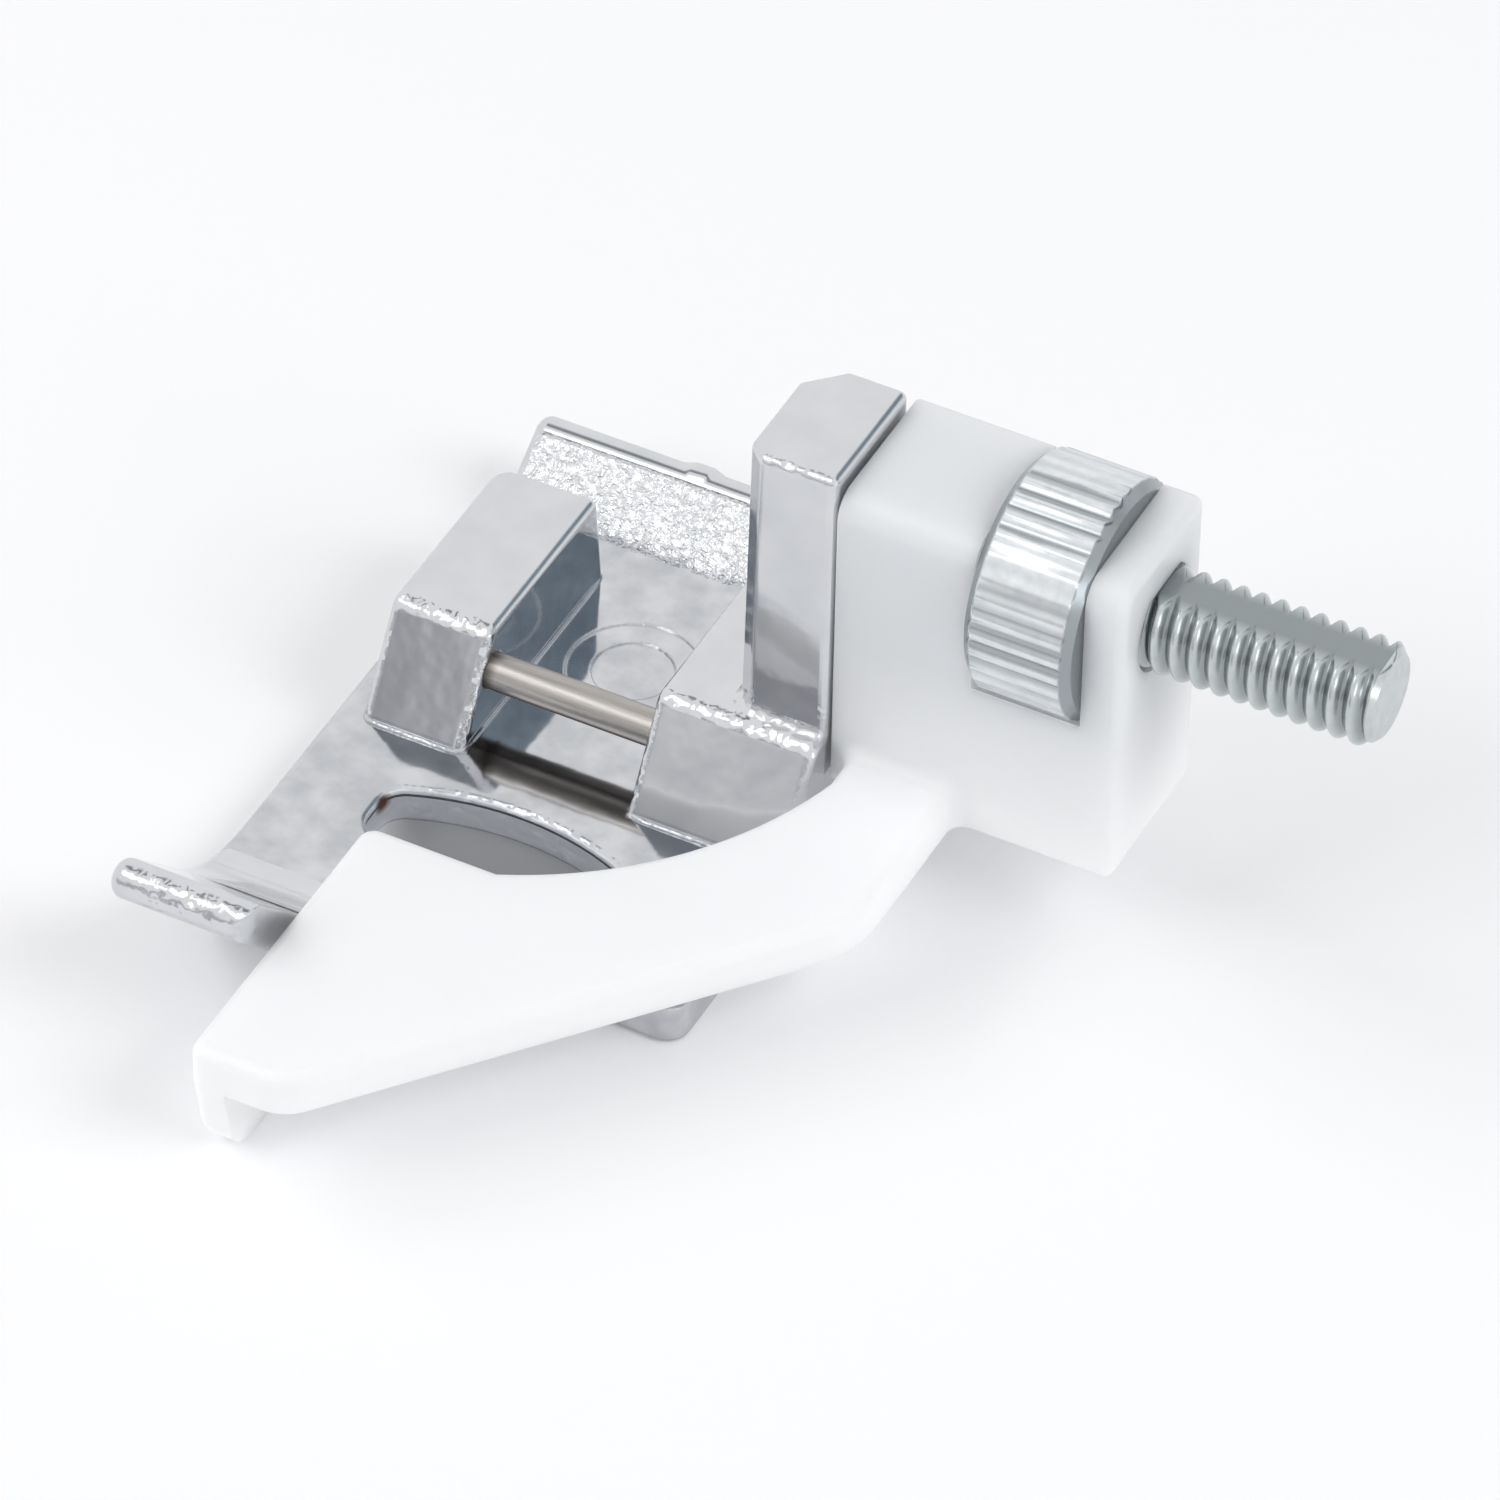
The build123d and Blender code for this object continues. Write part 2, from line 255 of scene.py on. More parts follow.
lean = add_node(tree, "ShaderNodeVectorMath", {0: around_edge, 1: straight}, operation="DOT_PRODUCT")
near_edge = add_node(
    tree,
    "ShaderNodeMapRange",
    {"Value": lean.outputs["Value"], "From Min": lean_start, "From Max": lean_full},
)
on_edge = add_node(tree, "ShaderNodeAttribute", attribute_name="edge").outputs["Fac"]
patches = add_node(
    tree,
    "ShaderNodeMapRange",
    {"Value": ripple, "From Min": patch_low, "From Max": patch_high, "To Min": patch_least},
)
edge_facing = add_node(tree, "ShaderNodeSeparateXYZ", {"Vector": around_edge}).outputs
faced_anode = add_node(
    tree,
    "ShaderNodeMapRange",
    {"Value": edge_facing["Y"], "From Min": 0.0, "From Max": front_lean},
)
off_heel = add_node(tree, "ShaderNodeMath", {0: spot["Y"], 1: ramp_foot[1]}, operation="LESS_THAN")
upright = add_node(tree, "ShaderNodeMath", {0: edge_facing["Z"], 1: upright_lean}, operation="LESS_THAN")
above_ears = add_node(tree, "ShaderNodeMath", {0: spot["Z"], 1: ear_top}, operation="GREATER_THAN")
clean = add_node(tree, "ShaderNodeMath", {0: upright, 1: above_ears}, operation="MULTIPLY")
sparkle = add_node(tree, "ShaderNodeMath", {0: near_edge, 1: on_edge}, operation="MAXIMUM")
for mask in (patches, faced_anode, off_heel):
    sparkle = add_node(tree, "ShaderNodeMath", {0: sparkle, 1: mask}, operation="MULTIPLY")
sparkle = add_node(tree, "ShaderNodeMath", {0: sparkle, 1: clean}, operation="SUBTRACT", use_clamp=True)
relief = add_node(tree, "ShaderNodeMixRGB", {"Fac": sparkle, "Color1": even, "Color2": bumpy})

# Handling and oil leave a patchy haze on the sole, below the ears.
haze_size, haze_top = 1.6 * MM, -2.4 * MM
cloud_low, cloud_high = 0.35, 0.65
haze_least, haze_most = 0.05, 0.55
clouds = add_node(tree, "ShaderNodeTexNoise", {"Vector": place, "Scale": 1 / haze_size, "Detail": 3.0})
haze = add_node(
    tree,
    "ShaderNodeMapRange",
    {
        "Value": clouds,
        "From Min": cloud_low,
        "From Max": cloud_high,
        "To Min": haze_least,
        "To Max": haze_most,
    },
)
on_sole = add_node(tree, "ShaderNodeMath", {0: spot["Z"], 1: haze_top}, operation="LESS_THAN")
hazy = add_node(tree, "ShaderNodeMath", {0: haze, 1: on_sole}, operation="MULTIPLY")
hazy_plate = add_node(tree, "ShaderNodeMixRGB", {"Fac": hazy, "Color1": plate, "Color2": linear("#A9ACB2")})

# The slot's wall is as it left the mould, matt under the plating, and its colour is painted pale, as light
# on it.
# A dark line of painted shade runs along it, just below the lip, and its left end has a spot of rust.
slot_middle, slot_reach = (0, -7.03 * MM, -3.6 * MM), (6.2 * MM, 2.6 * MM, 0.83 * MM)
slot_roughness = 0.55
lip_shade_level, lip_shade_reach = -3.06 * MM, 0.07 * MM
rust_middle, rust_reach = (-5.8 * MM, -6.8 * MM, -3.1 * MM), 0.6 * MM
rust_core = 0.4 * rust_reach
from_slot = add_node(
    tree,
    "ShaderNodeMapping",
    {"Vector": place, "Location": slot_middle, "Scale": slot_reach},
    vector_type="TEXTURE",
)
out_of_slot = add_node(tree, "ShaderNodeVectorMath", {0: from_slot}, operation="ABSOLUTE")
apart = add_node(tree, "ShaderNodeSeparateXYZ", {"Vector": out_of_slot}).outputs
across_slot = add_node(tree, "ShaderNodeMath", {0: apart["X"], 1: apart["Y"]}, operation="MAXIMUM")
furthest = add_node(tree, "ShaderNodeMath", {0: across_slot, 1: apart["Z"]}, operation="MAXIMUM")
in_slot = add_node(tree, "ShaderNodeMath", {0: furthest, 1: 1.0}, operation="LESS_THAN")
gloss = add_node(
    tree,
    "ShaderNodeMapRange",
    {"Value": in_slot, "To Min": plate_roughness, "To Max": slot_roughness},
)
# Painted shade: a thin dark band along the slot's wall just below the lip.
on_lip_shade = add_node(
    tree,
    "ShaderNodeMath",
    {0: spot["Z"], 1: lip_shade_level, 2: lip_shade_reach},
    operation="COMPARE",
)
# Painted light: the slot's wall is given a near-white colour.
wall = add_node(
    tree,
    "ShaderNodeMixRGB",
    {"Fac": on_lip_shade, "Color1": linear("#F4F6FA"), "Color2": linear("#74787D")},
)
slotted = add_node(tree, "ShaderNodeMixRGB", {"Fac": in_slot, "Color1": hazy_plate, "Color2": wall})
from_rust = add_node(tree, "ShaderNodeVectorMath", {0: place, 1: rust_middle}, operation="DISTANCE")
rust = add_node(
    tree,
    "ShaderNodeMapRange",
    {"Value": from_rust.outputs["Value"], "From Min": rust_reach, "From Max": rust_core},
)
rusted = add_node(tree, "ShaderNodeMath", {0: rust, 1: in_slot}, operation="MULTIPLY")
tone = add_node(tree, "ShaderNodeMixRGB", {"Fac": rusted, "Color1": slotted, "Color2": linear("#7D5A4A")})
shader = add_node(
    tree,
    "ShaderNodeBsdfPrincipled",
    {"Base Color": tone, "Metallic": 1.0, "Roughness": gloss, "Normal": relief},
)
add_node(tree, "ShaderNodeOutputMaterial", {"Surface": shader})
finish_piece(casting, plating, "foot", "foot_casting")


# Ear beads: the fine raised line round the foot of each ear, where it stands on the sole.
# Plating piles up in that corner, so the beads are of the casting's own plating and catch the light.
bead_radius = 0.17 * MM
bead_squareness = 0.16
bead_steps, bead_sides = 241, 10
least_step = 1e-12
sole_top = -2.67 * MM
ear_foot_front, ear_foot_back = -2.9 * MM, 10.4 * MM
left_ear_outside, right_ear_outside = -8.95 * MM, 11.6 * MM
ear_inside = 4 * MM
grid_sharp_edge = radians(40)


def grid_piece(name, points):
    """Piece from a grid of points: each cell is a face, the columns close round, and poles and seams are
    merged."""
    rows, columns, _ = points.shape
    index = np.arange(rows * columns).reshape(rows, columns)
    here, ahead = index[:-1], index[1:]
    faces = np.stack([here, np.roll(here, -1, 1), np.roll(ahead, -1, 1), ahead], axis=-1).reshape(-1, 4)
    mesh = bpy.data.meshes.new(name)
    mesh.from_pydata(points.reshape(-1, 3).tolist(), [], faces.tolist())
    closed = bmesh.new()
    closed.from_mesh(mesh)
    bmesh.ops.remove_doubles(closed, verts=closed.verts, dist=weld_distance)
    bmesh.ops.recalc_face_normals(closed, faces=closed.faces)
    closed.to_mesh(mesh)
    closed.free()
    mesh.shade_smooth()
    mesh.set_sharp_from_angle(angle=grid_sharp_edge)
    piece = bpy.data.objects.new(name, mesh)
    bpy.context.scene.collection.objects.link(piece)
    return piece


def foot_bead(x_start, x_end):
    """A thin tube round an ear's foot: a small circle carried along a superellipse, which is a rectangle
    with soft corners. The circle stands square to the path, between the outward direction and straight
    up."""
    turn = np.linspace(0, 2 * pi, bead_steps)
    side, depth = np.cos(turn), np.sin(turn)
    x = (x_start + x_end) / 2 + (x_end - x_start) / 2 * np.sign(side) * np.abs(side) ** bead_squareness
    middle, reach = (ear_foot_back + ear_foot_front) / 2, (ear_foot_back - ear_foot_front) / 2
    y = middle + reach * np.sign(depth) * np.abs(depth) ** bead_squareness
    run = np.stack([np.gradient(x), np.gradient(y)])
    run /= np.maximum(np.hypot(*run), least_step)
    around = np.linspace(0, 2 * pi, bead_sides, endpoint=False)
    out = bead_radius * np.cos(around)[None, :]
    points = np.stack(
        [
            x[:, None] + run[1][:, None] * out,
            y[:, None] - run[0][:, None] * out,
            np.broadcast_to(sole_top + bead_radius * np.sin(around), (len(x), len(around))),
        ],
        axis=-1,
    )
    points[-1] = points[0]
    return points


for name, x_start, x_end in (
    ("left_ear_bead", left_ear_outside, -ear_inside),
    ("right_ear_bead", ear_inside, right_ear_outside),
):
    bead = grid_piece(name, foot_bead(x_start, x_end))
    # The whole of a bead counts as an edge, where nodules grow.
    edge = bead.data.attributes.new("edge", "FLOAT", "FACE")
    edge.data.foreach_set("value", np.ones(len(bead.data.polygons), np.float32))
    bead.data.materials.append(plating)
    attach(bead, "foot")


# Ankle pin: a plain ground steel dowel that the machine's ankle grips.
# It is pressed in through the left ear and bottoms in a blind hole in the right one.
pin = merged_copy("ankle_pin", "ground_ankle_pin")

# Ground steel is a warm, satin grey with streaks along it, drawn coarser than real grinding marks so that
# they show. Its lower side is painted darker, as shade, and it is darker still where it enters the left ear.
streak_width, streak_height = 0.12 * MM, 0.02 * MM
streak_stretch = (0.04, 1.0, 1.0)
underside_shade_start, underside_shade_full = 0.1, -0.4
ear_dark_reach, ear_dark_most = 0.6 * MM, 0.8
pin_steel, tree, place = new_material("ground_steel_dowel")
drawn_out = add_node(tree, "ShaderNodeMapping", {"Vector": place, "Scale": streak_stretch})
streak = add_node(
    tree,
    "ShaderNodeTexNoise",
    {"Vector": drawn_out, "Scale": 1 / streak_width, "Detail": 3.0},
)
steel = add_node(
    tree,
    "ShaderNodeMixRGB",
    {"Fac": streak, "Color1": linear("#9A9691"), "Color2": linear("#C8C4C0")},
)
straight = add_node(tree, "ShaderNodeNewGeometry").outputs["Normal"]
facing = add_node(tree, "ShaderNodeSeparateXYZ", {"Vector": straight}).outputs["Z"]
# Painted shade: the steel darkens as its normal turns downward.
underside_shade = add_node(
    tree,
    "ShaderNodeMapRange",
    {"Value": facing, "From Min": underside_shade_start, "From Max": underside_shade_full},
)
underside_shaded_steel = add_node(
    tree,
    "ShaderNodeMixRGB",
    {"Fac": underside_shade, "Color1": steel, "Color2": linear("#76716B")},
)
# The steel darkens towards the place where it enters the left ear.
along_pin = add_node(tree, "ShaderNodeSeparateXYZ", {"Vector": place}).outputs["X"]
past_ear = add_node(tree, "ShaderNodeMath", {0: along_pin, 1: -ear_inside}, operation="SUBTRACT")
from_ear = add_node(tree, "ShaderNodeMath", {0: past_ear}, operation="ABSOLUTE")
darker_by_ear = add_node(
    tree,
    "ShaderNodeMapRange",
    {"Value": from_ear, "From Min": ear_dark_reach, "From Max": 0.0, "To Max": ear_dark_most},
    interpolation_type="SMOOTHSTEP",
)
tone = add_node(tree, "ShaderNodeMixRGB", {"Fac": darker_by_ear, "Color1": underside_shaded_steel, "Color2": linear("#4A443E")})
streak_bump = add_node(
    tree,
    "ShaderNodeBump",
    {"Height": streak, "Strength": 0.2, "Distance": streak_height},
)
shader = add_node(
    tree,
    "ShaderNodeBsdfPrincipled",
    {"Base Color": tone, "Metallic": 1.0, "Roughness": 0.36, "Normal": streak_bump},
)
add_node(tree, "ShaderNodeOutputMaterial", {"Surface": shader})
finish_piece(pin, pin_steel, "foot", "ankle_pin")


# Adjusting screw: a zinc-plated steel screw with a rolled thread and a flat milled along its top.
# Its plain shank is staked in the post, so it can't turn, and the flat keeps the guide upright.
shank_box, rod_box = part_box("adjusting_screw")
screw_left, screw_right = shank_box.x, rod_box.x
screw_y = (shank_box.y + rod_box.y) / 2
crest_radius = (rod_box.y - shank_box.y) / 2
screw_z = shank_box.z + crest_radius
flat_depth = 0.45 * MM
flat_height = crest_radius - flat_depth
thread_left = 11.7 * MM
inch_in_mm, turns_per_inch = 25.4, 28
thread_pitch = inch_in_mm / turns_per_inch * MM
thread_depth = 0.36 * MM
shank_radius = 2.0 * MM
shank_edge = 0.15 * MM
shank_rings = 4
end_chamfer = 0.5 * MM
rings_per_turn, screw_sides = 18, 72


def threaded_rod():
    """The screw as rings along its axis: each ring's radius is the smaller of the turned blank's radius
    there and the thread's, which swings between root and crest once a pitch and once round. The flat then
    cuts the top off all but the shank's rings."""
    around = np.linspace(0, 2 * pi, screw_sides, endpoint=False)
    rings = int((screw_right - thread_left) / thread_pitch * rings_per_turn)
    along = np.linspace(thread_left, screw_right, rings)
    x = np.r_[screw_left, screw_left, screw_left + shank_edge, thread_left, along, screw_right]
    blank = np.full(len(x), crest_radius)
    blank[:shank_rings] = 0, shank_radius - shank_edge, shank_radius, shank_radius
    blank[shank_rings:-1] = np.minimum(crest_radius, crest_radius + screw_right - end_chamfer - along)
    blank[-1] = 0
    phase = x[:, None] / thread_pitch - around[None, :] / (2 * pi)
    swing = 0.5 - 0.5 * np.cos(2 * pi * phase)
    thread = crest_radius - thread_depth * swing
    radius = np.minimum(blank[:, None], thread)
    radius[1:shank_rings] = blank[1:shank_rings, None]
    y = screw_y + radius * np.cos(around)
    z = screw_z + radius * np.sin(around)
    z[shank_rings:] = np.minimum(z[shank_rings:], screw_z + flat_height)
    return np.stack([np.broadcast_to(x[:, None], y.shape), y, z], axis=-1)


screw = grid_piece("threaded_adjusting_screw", threaded_rod())

# Zinc plate is a cool, slightly mottled grey. It keeps that tone on the crests and on the screw's end, and
# the roots and the flat are painted darker, as shade.
mottle_size, mottle_height = 0.5 * MM, 0.03 * MM
root_radius = crest_radius - thread_depth
bright_end = screw_right - 0.5 * end_chamfer
zinc, tree, place = new_material("zinc_plated_steel_thread")
mottle = add_node(tree, "ShaderNodeTexNoise", {"Vector": place, "Scale": 1 / mottle_size, "Detail": 4.0})
crest = add_node(
    tree,
    "ShaderNodeMixRGB",
    {"Fac": mottle, "Color1": linear("#B4BBBB"), "Color2": linear("#D8DEDE")},
)
across = add_node(tree, "ShaderNodeMapping", {"Vector": place, "Scale": (0, 1, 1)})
from_axis = add_node(
    tree,
    "ShaderNodeVectorMath",
    {0: across, 1: (0, screw_y, screw_z)},
    operation="DISTANCE",
)
# Painted shade: the tone darkens from the crests down to the roots and the flat.
up_thread = add_node(
    tree,
    "ShaderNodeMapRange",
    {"Value": from_axis.outputs["Value"], "From Min": root_radius, "From Max": crest_radius},
)
along_screw = add_node(tree, "ShaderNodeSeparateXYZ", {"Vector": place}).outputs["X"]
at_end = add_node(tree, "ShaderNodeMath", {0: along_screw, 1: bright_end}, operation="GREATER_THAN")
bright = add_node(tree, "ShaderNodeMath", {0: up_thread, 1: at_end}, operation="MAXIMUM")
tone = add_node(tree, "ShaderNodeMixRGB", {"Fac": bright, "Color1": linear("#949B9C"), "Color2": crest})
grain_bump = add_node(
    tree,
    "ShaderNodeBump",
    {"Height": mottle, "Strength": 0.15, "Distance": mottle_height},
)
shader = add_node(
    tree,
    "ShaderNodeBsdfPrincipled",
    {"Base Color": tone, "Metallic": 1.0, "Roughness": 0.22, "Normal": grain_bump},
)
add_node(tree, "ShaderNodeOutputMaterial", {"Surface": shader})
finish_piece(screw, zinc, "foot", "adjusting_screw")


# Hem guide: one white acetal moulding, the block over the screw, the plate and the fin along the toe.
# It slides on the screw's flat and is moved by the nut that sits in its window.
guide = merged_copy("hem_guide", "white_hem_guide")

# Acetal is a smooth, clean white that light soaks into, faintly clouded by the flow of the melt. The block
# is painted greyer towards its top, as shade, and the walls of the nut's window have a painted glow, as
# light coming through.
flow_size = 6.0 * MM
skin_size, skin_height = 0.4 * MM, 0.03 * MM
grey_from, grey_to = 0, 8 * MM
side_gap, round_gap = 0.1 * MM, 0.15 * MM
window_low, window_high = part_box("thumb_nut")
window_middle = (window_low + window_high) / 2
window_reach = (window_high - window_low) / 2 + Vector((side_gap, round_gap, round_gap))
acetal, tree, place = new_material("white_moulded_acetal")
flow = add_node(tree, "ShaderNodeTexNoise", {"Vector": place, "Scale": 1 / flow_size, "Detail": 3.0})
white = add_node(
    tree,
    "ShaderNodeMixRGB",
    {"Fac": flow, "Color1": linear("#F5F6F7"), "Color2": linear("#FAFAFB")},
)
level = add_node(tree, "ShaderNodeSeparateXYZ", {"Vector": place}).outputs["Z"]
# Painted shade: the block greys from the plate's level up to its top.
block_shade = add_node(
    tree,
    "ShaderNodeMapRange",
    {"Value": level, "From Min": grey_from, "From Max": grey_to},
)
tone = add_node(tree, "ShaderNodeMixRGB", {"Fac": block_shade, "Color1": white, "Color2": linear("#E3E5E7")})
from_window = add_node(
    tree,
    "ShaderNodeMapping",
    {"Vector": place, "Location": window_middle, "Scale": window_reach},
    vector_type="TEXTURE",
)
sideways = add_node(tree, "ShaderNodeSeparateXYZ", {"Vector": from_window}).outputs["X"]
off_middle = add_node(tree, "ShaderNodeMath", {0: sideways}, operation="ABSOLUTE")
beside_nut = add_node(tree, "ShaderNodeMath", {0: off_middle, 1: 1.0}, operation="LESS_THAN")
across = add_node(tree, "ShaderNodeMapping", {"Vector": from_window, "Scale": (0, 1, 1)})
outward = add_node(tree, "ShaderNodeVectorMath", {0: across}, operation="LENGTH").outputs["Value"]
round_nut = add_node(tree, "ShaderNodeMath", {0: outward, 1: 1.0}, operation="LESS_THAN")
in_window = add_node(tree, "ShaderNodeMath", {0: beside_nut, 1: round_nut}, operation="MULTIPLY")
# Painted light: a faint glow given to the walls round the nut.
painted_window_glow = add_node(
    tree,
    "ShaderNodeMixRGB",
    {"Fac": in_window, "Color1": linear("#000000"), "Color2": linear("#F6F7F9")},
)
skin = add_node(tree, "ShaderNodeTexNoise", {"Vector": place, "Scale": 1 / skin_size, "Detail": 3.0})
skin_bump = add_node(tree, "ShaderNodeBump", {"Height": skin, "Strength": 0.08, "Distance": skin_height})
shader = add_node(
    tree,
    "ShaderNodeBsdfPrincipled",
    {
        "Base Color": tone,
        "Roughness": 0.38,
        "IOR": 1.48,
        "Subsurface Weight": 0.7,
        "Subsurface Radius": (1.0, 0.95, 0.9),
        "Subsurface Scale": 2.0 * MM,
        "Emission Color": painted_window_glow,
        "Emission Strength": 0.13,
        "Normal": skin_bump,
    },
)
add_node(tree, "ShaderNodeOutputMaterial", {"Surface": shader})
finish_piece(guide, acetal, "guide", "hem_guide")


# Thumb nut: a turned steel nut with a coarse straight knurl, plated satin.
# It is dropped into the guide's window and the screw is run through it, which holds it there.
nut_low, nut_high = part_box("thumb_nut")
nut_radius = (nut_high.y - nut_low.y) / 2
nut_ridges = 36
ridge_columns = 12
groove_depth = 0.18 * MM
worn_stretches, worn_from = 5, radians(105)
worn_middle, worn_swing = 0.6, 0.4
rim_chamfer = 0.45 * MM
rim_rings = 7
bore_gap = 0.06 * MM
bore_radius = crest_radius + bore_gap


def knurled_nut():
    """The nut as rings round the screw's axis, out over the left face, along the barrel, in over the right
    face and back through the bore: a ring's radius is the smaller of the turned blank's and the knurl's,
    which dips once a ridge by a depth that swells and fades a few times round, as an old knurling wheel
    leaves it."""
    around = np.linspace(0, 2 * pi, nut_ridges * ridge_columns, endpoint=False)
    bevel = np.linspace(0, rim_chamfer, rim_rings)
    face_radius = nut_radius - rim_chamfer
    x = np.r_[nut_low.x, nut_low.x + bevel, nut_high.x - bevel[::-1], nut_high.x, nut_low.x]
    blank = np.r_[bore_radius, face_radius + bevel, face_radius + bevel[::-1], bore_radius, bore_radius]
    dip = 0.5 + 0.5 * np.cos(nut_ridges * around)
    depth = groove_depth * (worn_middle + worn_swing * np.cos(worn_stretches * (around - worn_from)))
    knurl = nut_radius - depth * dip
    radius = np.minimum(blank[:, None], knurl[None, :])
    y = screw_y + radius * np.cos(around)
    z = screw_z + radius * np.sin(around)
    return np.stack([np.broadcast_to(x[:, None], y.shape), y, z], axis=-1)


nut = grid_piece("knurled_thumb_nut", knurled_nut())

# Satin plate is a pale, slightly mottled grey, kept on the ridges. The grooves are painted darker, as shade,
# and so is the chamfered rim of the right face, beside its narrow gap.
mottle_size, mottle_height = 0.6 * MM, 0.04 * MM
groove_radius, ridge_radius = nut_radius - groove_depth, nut_radius - 0.1 * groove_depth
rim_start, rim_full = nut_high.x - rim_chamfer, nut_high.x - 0.8 * rim_chamfer
satin, tree, place = new_material("satin_plated_knurled_steel")
mottle = add_node(tree, "ShaderNodeTexNoise", {"Vector": place, "Scale": 1 / mottle_size, "Detail": 4.0})
crest = add_node(
    tree,
    "ShaderNodeMixRGB",
    {"Fac": mottle, "Color1": linear("#D0D5D8"), "Color2": linear("#F0F3F4")},
)
across = add_node(tree, "ShaderNodeMapping", {"Vector": place, "Scale": (0, 1, 1)})
from_axis = add_node(
    tree,
    "ShaderNodeVectorMath",
    {0: across, 1: (0, screw_y, screw_z)},
    operation="DISTANCE",
)
# Painted shade: the tone darkens from the ridges down into the grooves.
up_ridge = add_node(
    tree,
    "ShaderNodeMapRange",
    {"Value": from_axis.outputs["Value"], "From Min": groove_radius, "From Max": ridge_radius},
)
barrel = add_node(tree, "ShaderNodeMixRGB", {"Fac": up_ridge, "Color1": linear("#A3A9AC"), "Color2": crest})
along_nut = add_node(tree, "ShaderNodeSeparateXYZ", {"Vector": place}).outputs["X"]
# Painted shade on the chamfered rim of the right face.
rim_shade = add_node(
    tree,
    "ShaderNodeMapRange",
    {"Value": along_nut, "From Min": rim_start, "From Max": rim_full},
)
tone = add_node(tree, "ShaderNodeMixRGB", {"Fac": rim_shade, "Color1": barrel, "Color2": linear("#9DA3A6")})
grain_bump = add_node(
    tree,
    "ShaderNodeBump",
    {"Height": mottle, "Strength": 0.15, "Distance": mottle_height},
)
shader = add_node(
    tree,
    "ShaderNodeBsdfPrincipled",
    {"Base Color": tone, "Metallic": 1.0, "Roughness": 0.27, "Normal": grain_bump},
)
add_node(tree, "ShaderNodeOutputMaterial", {"Surface": shader})
finish_piece(nut, satin, "nut", "thumb_nut")


# Studio table: a wide sheet of matt white paper that the foot stands on.
# It glows a little, so that it shows nearly white round the foot's shadow. Right under the foot its colour
# is painted darker and its glow is off, as painted shadow where little light reaches and the needle slot
# shows it.
table_half = 3
shade_middle, shade_reach = (1 * MM, 2 * MM, 0), (9 * MM, 14 * MM, 1)
shade_edge, shade_end = 0.8, 1.2
glow_on_pieces, glow_as_seen = 0.17, 0.118


def flat_sheet(name, centre, half_side, half_height):
    """A flat four-cornered sheet about a centre, spanned by two half-edge vectors."""
    middle, side, height = map(np.array, (centre, half_side, half_height))
    corners = middle + np.outer([-1, 1, 1, -1], side) + np.outer([-1, -1, 1, 1], height)
    mesh = bpy.data.meshes.new(name)
    mesh.from_pydata(corners.tolist(), [], [(0, 1, 2, 3)])
    sheet = bpy.data.objects.new(name, mesh)
    bpy.context.scene.collection.objects.link(sheet)
    return sheet


def seen_share(tree):
    """1 for what the camera sees, directly, mirrored or through something clear, and 0 for what lights the
    pieces: the greatest of the three kinds of ray."""
    path = add_node(tree, "ShaderNodeLightPath").outputs
    seen = path["Is Camera Ray"]
    for kind in ("Is Glossy Ray", "Is Transmission Ray"):
        seen = add_node(tree, "ShaderNodeMath", {0: seen, 1: path[kind]}, operation="MAXIMUM")
    return seen


floor = flat_sheet("white_table", (0, 0, cad_box[0][2]), (table_half, 0, 0), (0, table_half, 0))
paper, tree, place = new_material("matt_white_paper")
from_foot = add_node(
    tree,
    "ShaderNodeMapping",
    {"Vector": place, "Location": shade_middle, "Scale": shade_reach},
    vector_type="TEXTURE",
)
away = add_node(tree, "ShaderNodeVectorMath", {0: from_foot}, operation="LENGTH").outputs["Value"]
# Painted shadow: 0 right under the foot, 1 clear of it.
clear = add_node(
    tree,
    "ShaderNodeMapRange",
    {"Value": away, "From Min": shade_edge, "From Max": shade_end},
    interpolation_type="SMOOTHSTEP",
)
glow = add_node(
    tree,
    "ShaderNodeMapRange",
    {"Value": seen_share(tree), "To Min": glow_on_pieces, "To Max": glow_as_seen},
)
lift = add_node(tree, "ShaderNodeMath", {0: glow, 1: clear}, operation="MULTIPLY")
tone = add_node(
    tree,
    "ShaderNodeMixRGB",
    {"Fac": clear, "Color1": linear("#8C8D8F"), "Color2": linear("#F0F0F1")},
)
shader = add_node(
    tree,
    "ShaderNodeBsdfPrincipled",
    {
        "Base Color": tone,
        "Roughness": 0.9,
        "Specular IOR Level": 0.1,
        "Emission Color": linear("#FDFDFF"),
        "Emission Strength": lift,
    },
)
add_node(tree, "ShaderNodeOutputMaterial", {"Surface": shader})
floor.data.materials.append(paper)


# Studio cards: four painted boards that show in reflections alone, and light nothing.
# They stand where the photograph's plating mirrors something: in front, behind on the right, overhead, and
# a small bright one on the right.
clutter_low, clutter_high = 0.3, 0.7


def mirrored_card(name, centre, half_side, half_height, dark, light, cloud_size, strength):
    """A glowing card with cloudy shades between two colours, which shows in reflections alone."""
    card = flat_sheet(name, centre, half_side, half_height)
    material, tree, place = new_material(name)
    clutter = add_node(
        tree,
        "ShaderNodeTexNoise",
        {"Vector": place, "Scale": 1 / cloud_size, "Detail": 2.0},
    )
    cloud = add_node(
        tree,
        "ShaderNodeMapRange",
        {"Value": clutter, "From Min": clutter_low, "From Max": clutter_high},
    )
    tone = add_node(
        tree,
        "ShaderNodeMixRGB",
        {"Fac": cloud, "Color1": linear(dark), "Color2": linear(light)},
    )
    glow = add_node(tree, "ShaderNodeEmission", {"Color": tone, "Strength": strength})
    add_node(tree, "ShaderNodeOutputMaterial", {"Surface": glow})
    card.data.materials.append(material)
    card.visible_camera = False
    card.visible_diffuse = False
    card.visible_shadow = False


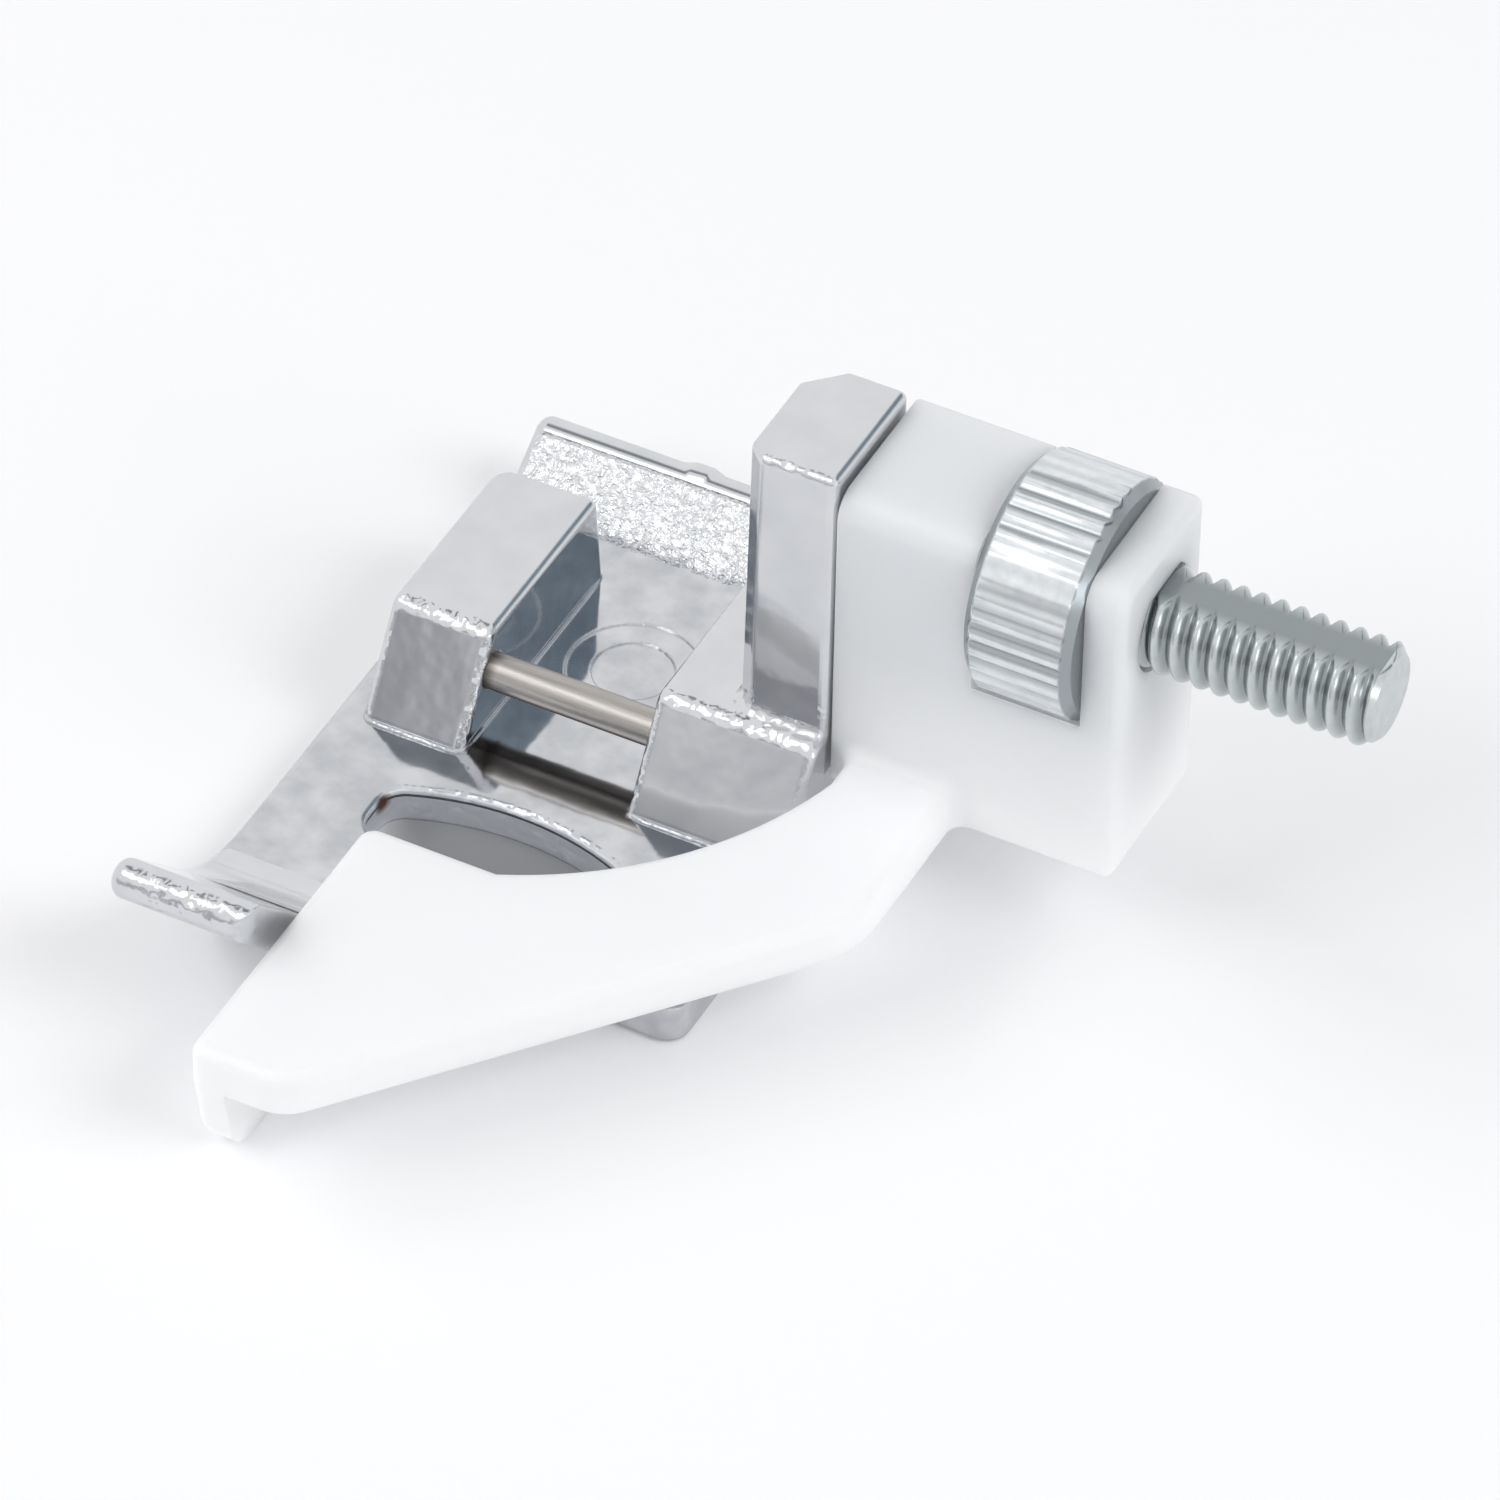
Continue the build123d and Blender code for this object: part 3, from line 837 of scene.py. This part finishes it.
mirrored_card(
    "front_card",
    centre=(-0.15, -0.6, 0.12),
    half_side=(0.6, 0, 0),
    half_height=(0, 0, 0.14),
    dark="#8A8D93",
    light="#FBFAFB",
    cloud_size=0.075,
    strength=1.0,
)
mirrored_card(
    "rear_card",
    centre=(0.30, 0.42, 0.42),
    half_side=(0.22, -0.14, 0),
    half_height=(0, -0.1, 0.16),
    dark="#5E6C78",
    light="#A3B1BC",
    cloud_size=0.05,
    strength=1.0,
)
mirrored_card(
    "top_card",
    centre=(-0.23, 0.196, 0.63),
    half_side=(0.1, 0, 0),
    half_height=(0, 0.1, 0),
    dark="#7B8187",
    light="#A3A8AE",
    cloud_size=0.14,
    strength=1.0,
)
mirrored_card(
    "side_glint",
    centre=(0.47, -0.125, 0.115),
    half_side=(0.013, 0.05, 0),
    half_height=(0, 0, 0.05),
    dark="#F4F8FF",
    light="#FFFFFF",
    cloud_size=0.14,
    strength=4.0,
)


# Studio light: a bright room all round, and three soft boxes that light the pieces and show in no mirror
# image. A small lamp does the opposite: it shows in mirror images alone, as the sparks on the plating.
for name, side, watts, stand, mirror_only in (
    ("front_soft_box", 0.35, 1.2, (-0.35, -0.35, 0.4), False),
    ("right_soft_box", 0.35, 1.6, (0.5, 0, 0.4), False),
    ("left_soft_box", 0.35, 0.9, (-0.5, 0, 0.4), False),
    ("spark_lamp", 0.2, 0.26, (-0.2, -0.22, 0.45), True),
):
    lamp = bpy.data.lights.new(name, "AREA")
    lamp.shape = "SQUARE"
    lamp.size = side
    lamp.energy = watts
    light = bpy.data.objects.new(name, lamp)
    light.location = stand
    light.rotation_euler = Vector(stand).to_track_quat("Z", "Y").to_euler()
    light.visible_glossy = mirror_only
    light.visible_diffuse = not mirror_only
    bpy.context.scene.collection.objects.link(light)

world = bpy.data.worlds.new("bright_room")
bpy.context.scene.world = world
world.use_nodes = True
tree = world.node_tree
tree.nodes.clear()
fill = add_node(tree, "ShaderNodeBackground", {"Color": linear("#FAFBFD"), "Strength": 0.48})
backdrop = add_node(tree, "ShaderNodeBackground", {"Color": linear("#FFFFFF"), "Strength": 1.0})
room = add_node(tree, "ShaderNodeMixShader", {0: seen_share(tree), 1: fill, 2: backdrop})
add_node(tree, "ShaderNodeOutputWorld", {"Surface": room})


# Camera: a long lens at the photograph's angle, half a metre away, level but for a slight roll.
# It is aimed at the point that the middle of the photograph shows.
view_azimuth, view_elevation, view_roll = radians(26.5), radians(42.8), radians(1.2)
view_distance = 493.75 * MM
aim = Vector((7.79, 1.457, -0.742)) * MM
lens = bpy.data.cameras.new("long_lens")
lens.lens = 275
lens.sensor_width = 36
lens.clip_start = 0.01
camera = bpy.data.objects.new("long_lens", lens)
turn = Matrix.Rotation(view_azimuth, 4, "Z") @ Matrix.Rotation(pi / 2 - view_elevation, 4, "X")
turn = turn @ Matrix.Rotation(view_roll, 4, "Z")
camera.matrix_world = Matrix.Translation(aim) @ turn @ Matrix.Translation((0, 0, view_distance))
bpy.context.scene.collection.objects.link(camera)
bpy.context.scene.camera = camera
bpy.context.scene.view_settings.view_transform = "Standard"
